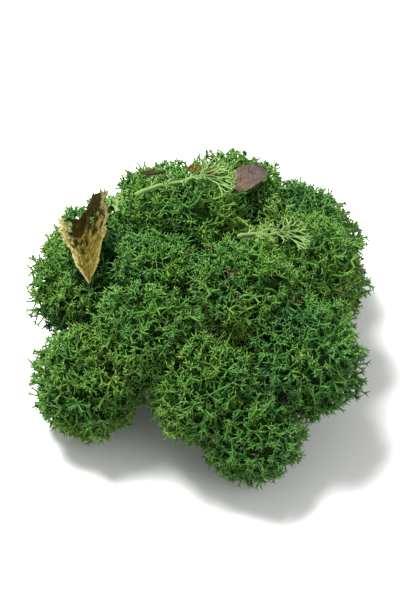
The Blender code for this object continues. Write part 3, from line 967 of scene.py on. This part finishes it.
def blade_place(blade, along, across, rag=0.0, bump=0.0):
    """A point of a leaf's middle surface: along from stalk to tip, across from -1 to 1."""
    torn = blade.tear * clamped((TEAR_FROM - across) / TEAR_WIDTH)
    run = torn + (1 - torn) * along
    swelling = (blade.start + (TIP_END - blade.start) * run) ** STALK_TAPER
    body = math.sin(math.pi * swelling) ** (TORN_FULLNESS if blade.tear else WHOLE_FULLNESS)
    wave = 1 + WAVE_DEPTH * math.sin(math.tau * blade.waves * run)
    half = blade.width * MM / 2 * body * wave * (1 + rag)
    fold, curl = math.radians(blade.fold), math.radians(blade.curl)
    height = abs(across) * half * math.sin(fold) - bump
    radius = blade.length * MM / curl
    angle = run * curl
    return Vector((
        (radius - height) * math.sin(angle),
        across * half * math.cos(fold),
        radius - (radius - height) * math.cos(angle),
    ))


def blade_grid(blade, rows, columns, rag_of, bump_of):
    """Rows of points over the blade, turned to lie as it does, about the middle of its CAD grid."""
    turn = turned_by(blade.heading, blade.pitch, blade.roll)
    plain = [
        turn @ blade_place(blade, row / blade.rows, column / blade.columns)
        for row in range(blade.rows + 1) for column in range(-blade.columns, blade.columns + 1)
    ]
    middle = sum(plain, Vector()) / len(plain)

    def point(*spot):
        return turn @ blade_place(blade, *spot, rag_of(*spot), bump_of(*spot)) - middle

    return [
        [point(row / rows, column / columns) for column in range(-columns, columns + 1)]
        for row in range(rows + 1)
    ]


def whole(along, across):
    """No fraying, bump or tear."""
    return 0


def leaf_piece(node, blade, grid, thickness, material, rag=whole, bump=whole, torn=whole):
    """A thin leaf on its grid, without the faces that are torn away, in its node's place."""
    corners = [vert.co for vert in frame["nodes"][node].data.vertices]
    place = sum(corners, Vector()) / len(corners)
    shape = bmesh.new()
    uv = shape.loops.layers.uv.new("leaf")
    points = blade_grid(blade, *grid, rag, bump)
    verts = [[shape.verts.new(point + place) for point in row] for row in points]
    rows, columns = len(verts) - 1, len(verts[0]) - 1
    for i in range(rows):
        for j in range(columns):
            if torn((i + 0.5) / rows, 2 * (j + 0.5) / columns - 1):
                continue
            spots = ((i, j), (i + 1, j), (i + 1, j + 1), (i, j + 1))
            face = shape.faces.new([verts[a][b] for a, b in spots])
            face.smooth = True
            for loop, (a, b) in zip(face.loops, spots):
                loop[uv].uv = (a / rows, b / columns)
    loose = [vert for vert in shape.verts if not vert.link_faces]
    bmesh.ops.delete(shape, geom=loose, context="VERTS")
    name = "litter_" + node
    obj = in_scene(name, mesh_of(shape, name))
    obj.data.materials.append(material)
    thick = obj.modifiers.new("thickness", "SOLIDIFY")
    thick.thickness = thickness
    thick.offset = 0
    put_in_place(obj, node)


def leaf_group():
    """Blotch and sheen, vein and rim masks shared by the dry leaves, from the leaf's own
    coordinates.
    """
    group, entry, leave = node_group("dry_leaf", "Shader", {"Float": {
        "Vein pairs": 7.0, "Vein slant": 0.6, "Blotch scale": 7.0, "Grain scale": 40.0,
        "Rim width": 0.2, "Far rim": 1.0, "Rotten length": 0.5,
    }}, {"Float": ["Rim", "Veins", "Blotches", "Grain", "Rotten"]})
    place, along, side = own_map(group, "leaf")
    work = partial(maths, group)

    def grain(scale, detail, stretch=(1, 1, 1)):
        squeezed = wired(group, "ShaderNodeMapping", {"Vector": place, "Scale": stretch})["Vector"]
        sockets = {"Vector": squeezed, "Scale": scale, "Detail": detail}
        return wired(group, "ShaderNodeTexNoise", sockets)["Fac"]

    out = work("ABSOLUTE", work("MULTIPLY_ADD", side, 2, -1))
    wobble = grain(entry["Blotch scale"], 3)
    rough_out = work("ADD", out, work("MULTIPLY_ADD", wobble, *RIM_WOBBLE))
    near_rim = work("ADD", rough_out, entry["Rim width"])
    rim = work("MULTIPLY", near_rim, RIM_SHARPNESS, clamp=True)
    far = work("MULTIPLY", side, work("SUBTRACT", 1, entry["Far rim"]))
    rim = work("MULTIPLY", rim, work("SUBTRACT", 1, far))
    rot_shift = work("MULTIPLY_ADD", wobble, *ROTTEN_WOBBLE)
    rot_end = work("SUBTRACT", entry["Rotten length"], rot_shift)
    rotten = work("MULTIPLY", work("SUBTRACT", rot_end, along), ROTTEN_SHARPNESS, clamp=True)
    lag = work("MULTIPLY", out, work("MULTIPLY", entry["Vein slant"], 0.4))
    turns = work("MULTIPLY", entry["Vein pairs"], math.tau)
    wave = work("SINE", work("MULTIPLY", work("SUBTRACT", along, lag), turns))
    side_veins = work("MULTIPLY_ADD", wave, *VEIN_SHARPNESS, clamp=True)
    midrib = work("MULTIPLY_ADD", out, *MIDRIB_SHARPNESS, clamp=True)
    patches = grain(entry["Blotch scale"], 4, BLOTCH_AND_SHEEN_STRETCH)
    for label, mask in {
        "Rim": rim, "Rotten": rotten, "Veins": work("MAXIMUM", side_veins, midrib),
        "Blotches": work("MULTIPLY_ADD", patches, *BLOTCH_AND_SHEEN_SHARPNESS, clamp=True),
        "Grain": grain(entry["Grain scale"], 3),
    }.items():
        group.links.new(mask, leave[label])
    return group


def leaf_material(name, body, layers, roughness, specular, sizes, coat=0.0):
    """A dry leaf: its body colour under layers of (strength, colour), one for each mask's name."""
    material, tree, shader = plain_material(name, {
        "Specular IOR Level": specular, "Coat Weight": coat, "Coat Roughness": 0.3,
    })
    leaf = wired(tree, "ShaderNodeGroup", sizes, node_tree=dry_leaf)
    colour = body
    for mask, (strength, paint) in layers.items():
        colour = mixed(tree, maths(tree, "MULTIPLY", leaf[mask], strength), colour, paint)
    speckle = stretched(tree, leaf["Grain"], *SPECKLE)
    tree.links.new(scaled(tree, colour, speckle), shader["Base Color"])
    tree.links.new(stretched(tree, leaf["Rim"], 0, 1, *roughness), shader["Roughness"])
    vein_rise = VEIN_RISE * layers["Veins"][0]
    rise = maths(tree, "MULTIPLY_ADD", leaf["Veins"], vein_rise, leaf["Grain"])
    tree.links.new(bumped(tree, rise, strength=0.7, distance=0.25 * MM), shader["Normal"])
    return material


def curled_rag(along, across):
    """How far the rim is frayed, more on its far side, and drawn in towards the tip."""
    out = noise.noise(Vector((along * 9, 3.1 if across > 0 else 8.7, 0)))
    side = 0.2 if across > 0 else 0.02
    point = max(0, along - POINT_FROM) / (1 - POINT_FROM)
    return abs(across) ** 3 * (0.2 * out - side) - POINT_SHARE * point


def curled_bump(along, across):
    """Ripples that deepen outwards, and the rim rolled up."""
    ripple = noise.noise(Vector((along * 4, across * 2.2, 1.7)))
    rim = 0.5 * max(0, abs(across) - 0.72) / 0.28
    return (0.75 * ripple * (0.3 + abs(across)) - rim * 0.9) * MM


def curled_torn(along, across):
    """Whether the leaf is gone there: past its ragged top or rim, or in a hole."""
    ragged = 0.03 * noise.noise(Vector((along * 30, across * 12, 4)))
    top = 0.05 + 0.09 * noise.noise(Vector((across * 6, 2, 9))) + ragged
    edge = 1 - 0.12 * max(0, noise.noise(Vector((along * 14, across > 0, 6)))) + ragged
    if along < top or abs(across) > edge:
        return True
    return any(math.hypot(along - a, (across - b) * 0.3) <= r + ragged for a, b, r in HOLES)


dry_leaf = leaf_group()
curled_tan = leaf_material(
    "curled_leaf_tan", (0.150, 0.124, 0.022, 1),
    {
        "Blotches": (0.85, (0.028, 0.021, 0.003, 1)), "Rotten": (0.92, (0.010, 0.0068, 0.0005, 1)),
        "Rim": (0.9, (0.390, 0.350, 0.135, 1)), "Veins": (0.12, (0.050, 0.038, 0.008, 1)),
    },
    roughness=(0.6, 0.8), specular=0.04, sizes={
        "Rim width": 0.42, "Far rim": 0.35, "Rotten length": 0.52,
        "Blotch scale": 10.0, "Grain scale": 28.0,
    },
)
leaf_piece(
    "curled_leaf", CURLED, grid=(66, 22), thickness=0.28 * MM, material=curled_tan,
    rag=curled_rag, bump=curled_bump, torn=curled_torn,
)


# The round leaf: a small whole leaf of a dwarf shrub, leathery and smooth. It is plum brown, rusty
# at its rim and stalk end, with a pale sheen that is partly its gloss and partly painted in pale
# patches. It lies on the moss.
ROUND = Blade(29, 24, 8, 10, 7.5, 12, -24, 0.06, 0, 0, 7, 2)


def round_rag(along, across):
    """Fills out both ends of the blade, so that it is nearly round."""
    return 0.3 * (2 * along - 1) ** 2 * min(1, 7 * along, 7 * (1 - along))


def round_bump(along, across):
    return 0.3 * noise.noise(Vector((along * 3, across * 1.6, 5))) * MM


round_plum = leaf_material(
    "round_leaf_plum", (0.030, 0.017, 0.011, 1),
    {
        # Its pale blotches are painted sheen
        "Blotches": (0.9, (0.092, 0.072, 0.058, 1)), "Rotten": (0.8, (0.082, 0.038, 0.013, 1)),
        "Rim": (0.8, (0.120, 0.056, 0.020, 1)), "Veins": (0.3, (0.046, 0.030, 0.022, 1)),
    },
    roughness=(0.35, 0.5), specular=0.18, coat=0.05,
    sizes={"Vein pairs": 5.0, "Rotten length": 0.4, "Blotch scale": 2.6},
)
leaf_piece(
    "round_leaf", ROUND, grid=(28, 12), thickness=0.3 * MM, material=round_plum,
    rag=round_rag, bump=round_bump,
)


# The bud scale: a narrow boat-shaped scale off a bud, rust brown, with fine ribs along it. It lies
# on the moss.
SCALE = Blade(-27, -4, 8, 9, 3.4, 26, 30, 0.06, 0, 0, 6, 1)
scale_rust = leaf_material(
    "bud_scale_rust", (0.130, 0.056, 0.012, 1),
    {
        "Blotches": (0.6, (0.058, 0.026, 0.007, 1)), "Rotten": (0.5, (0.048, 0.021, 0.007, 1)),
        "Rim": (0.6, (0.210, 0.102, 0.030, 1)), "Veins": (0.4, (0.060, 0.027, 0.008, 1)),
    },
    roughness=(0.6, 0.7), specular=0.05, sizes={"Vein pairs": 0.5, "Blotch scale": 5.0},
)
leaf_piece(
    "bud_scale", SCALE, grid=(26, 8), thickness=0.3 * MM, material=scale_rust,
)


# The dry needle: a dead conifer needle, dark brown and grooved along its length. It lies on the
# moss.
NEEDLE = Blade(-54, 27, 6, 12, 1.7, 8, 16, 0.06, 0, 0, 6, 1)
needle_brown = leaf_material(
    "dry_needle_brown", (0.038, 0.020, 0.008, 1),
    {
        "Blotches": (0.6, (0.020, 0.011, 0.004, 1)), "Rotten": (0.6, (0.016, 0.009, 0.004, 1)),
        "Rim": (0.5, (0.060, 0.034, 0.013, 1)), "Veins": (0.6, (0.022, 0.012, 0.005, 1)),
    },
    roughness=(0.7, 0.8), specular=0.04, sizes={"Vein pairs": 0.5, "Blotch scale": 9.0},
)
leaf_piece(
    "dry_needle", NEEDLE, grid=(24, 4), thickness=0.5 * MM, material=needle_brown,
)


# The studio: a plain pale floor, soft light from large lamps, and the camera, which looks down on
# the clump from its front
FLOOR_REACH = 3
FLOOR_COLOUR = (0.86, 0.86, 0.85, 1)
SKY_STRENGTH = 0.55
LENS = 85
ELEVATION = math.radians(44)
DISTANCE = 0.36
TARGET = Vector((0, 0, 0.022))

floor = in_scene("floor", bpy.data.meshes.new("floor"))
left, right = -FLOOR_REACH, FLOOR_REACH
corners = [(left, left, 0), (right, left, 0), (right, right, 0), (left, right, 0)]
floor.data.from_pydata(corners, [], [(0, 1, 2, 3)])
paint = plain_material("pale_floor", {"Base Color": FLOOR_COLOUR, "Roughness": 0.6})[0]
floor.data.materials.append(paint)

world = bpy.data.worlds.new("studio")
world.use_nodes = True
sky = world.node_tree.nodes["Background"].inputs
sky["Color"].default_value = (1, 1, 1, 1)
sky["Strength"].default_value = SKY_STRENGTH
bpy.context.scene.world = world


def lamp(name, place, size, power):
    """A square lamp that faces the clump."""
    light = bpy.data.lights.new(name, "AREA")
    light.size = size
    light.energy = power
    obj = in_scene(name, light)
    obj.location = place
    obj.rotation_euler = (-Vector(place)).to_track_quat("-Z", "Y").to_euler()


lamp("key", (-0.22, 0.2, 0.6), 0.25, 11)
lamp("fill", (0.45, -0.35, 0.45), 0.5, 1.5)

camera = in_scene("camera", bpy.data.cameras.new("camera"))
camera.data.lens = LENS
camera.location = TARGET + Vector((0, -math.cos(ELEVATION), math.sin(ELEVATION))) * DISTANCE
camera.rotation_euler = (TARGET - camera.location).to_track_quat("-Z", "Y").to_euler()
bpy.context.scene.camera = camera
bpy.context.scene.view_settings.view_transform = "Standard"

for shapes in (stars, twig_ends):
    for shape in list(shapes.objects):
        bpy.data.objects.remove(shape)
    bpy.data.collections.remove(shapes)
